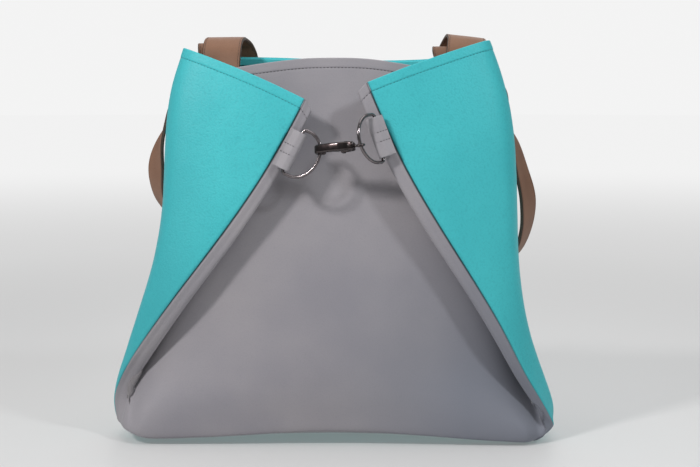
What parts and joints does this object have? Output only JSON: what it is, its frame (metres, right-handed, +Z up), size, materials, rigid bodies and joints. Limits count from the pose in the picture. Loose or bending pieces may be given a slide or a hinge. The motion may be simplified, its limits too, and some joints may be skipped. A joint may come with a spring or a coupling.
{
  "type": "leather shoulder bag",
  "caption": "Open-top leather shoulder bag in teal and grey, its upper corners folded to the front and clipped together, with brown strap handles.",
  "frame": {"origin": "on the flat underside, at the middle of the bag's width, a little in front of the middle of its depth", "axes": "+X to the viewer's right across the front, +Y to the bag's back, +Z up; the front faces -Y"},
  "size_m": [0.4323, 0.1819, 0.4044],
  "materials": {
    "teal_leather": "pebbled, satin",
    "grey_leather": "smooth, matt",
    "strap_leather": "smooth, stitched, dark painted edges",
    "tab_leather": "smooth, stitched",
    "polished_nickel": "polished",
    "dark_gunmetal": "dark gunmetal plating, glossy"
  },
  "bodies": {
    "bag": {"back_panel": "teal_leather", "front_panel": "grey_leather", "front_handle": "strap_leather", "back_handle": "strap_leather", "ring_tab_left": "tab_leather", "ring_tab_right": "tab_leather", "d_ring_left": "polished_nickel", "d_ring_right": "polished_nickel", "swivel_eye": "dark_gunmetal"},
    "hook": {"snap_hook": "dark_gunmetal"},
    "gate": {"snap_gate": "dark_gunmetal"}
  },
  "joints": [
    {"name": "hook_swivel", "type": "hinge", "parent": "bag", "child": "hook", "pos_m": [-0.01313, -0.06715, 0.2896], "axis": [0.932, -0.3418, 0.1205], "range_deg": [-12, 12]},
    {"name": "gate_hinge", "type": "hinge", "parent": "hook", "child": "gate", "pos_m": [0.00943, -0.07036, 0.29111], "axis": [-0.0267, 0.2667, 0.9634], "range_deg": [0, 17], "stiffness_Nm_per_rad": 0.04, "springref_deg": -28.65}
  ]
}
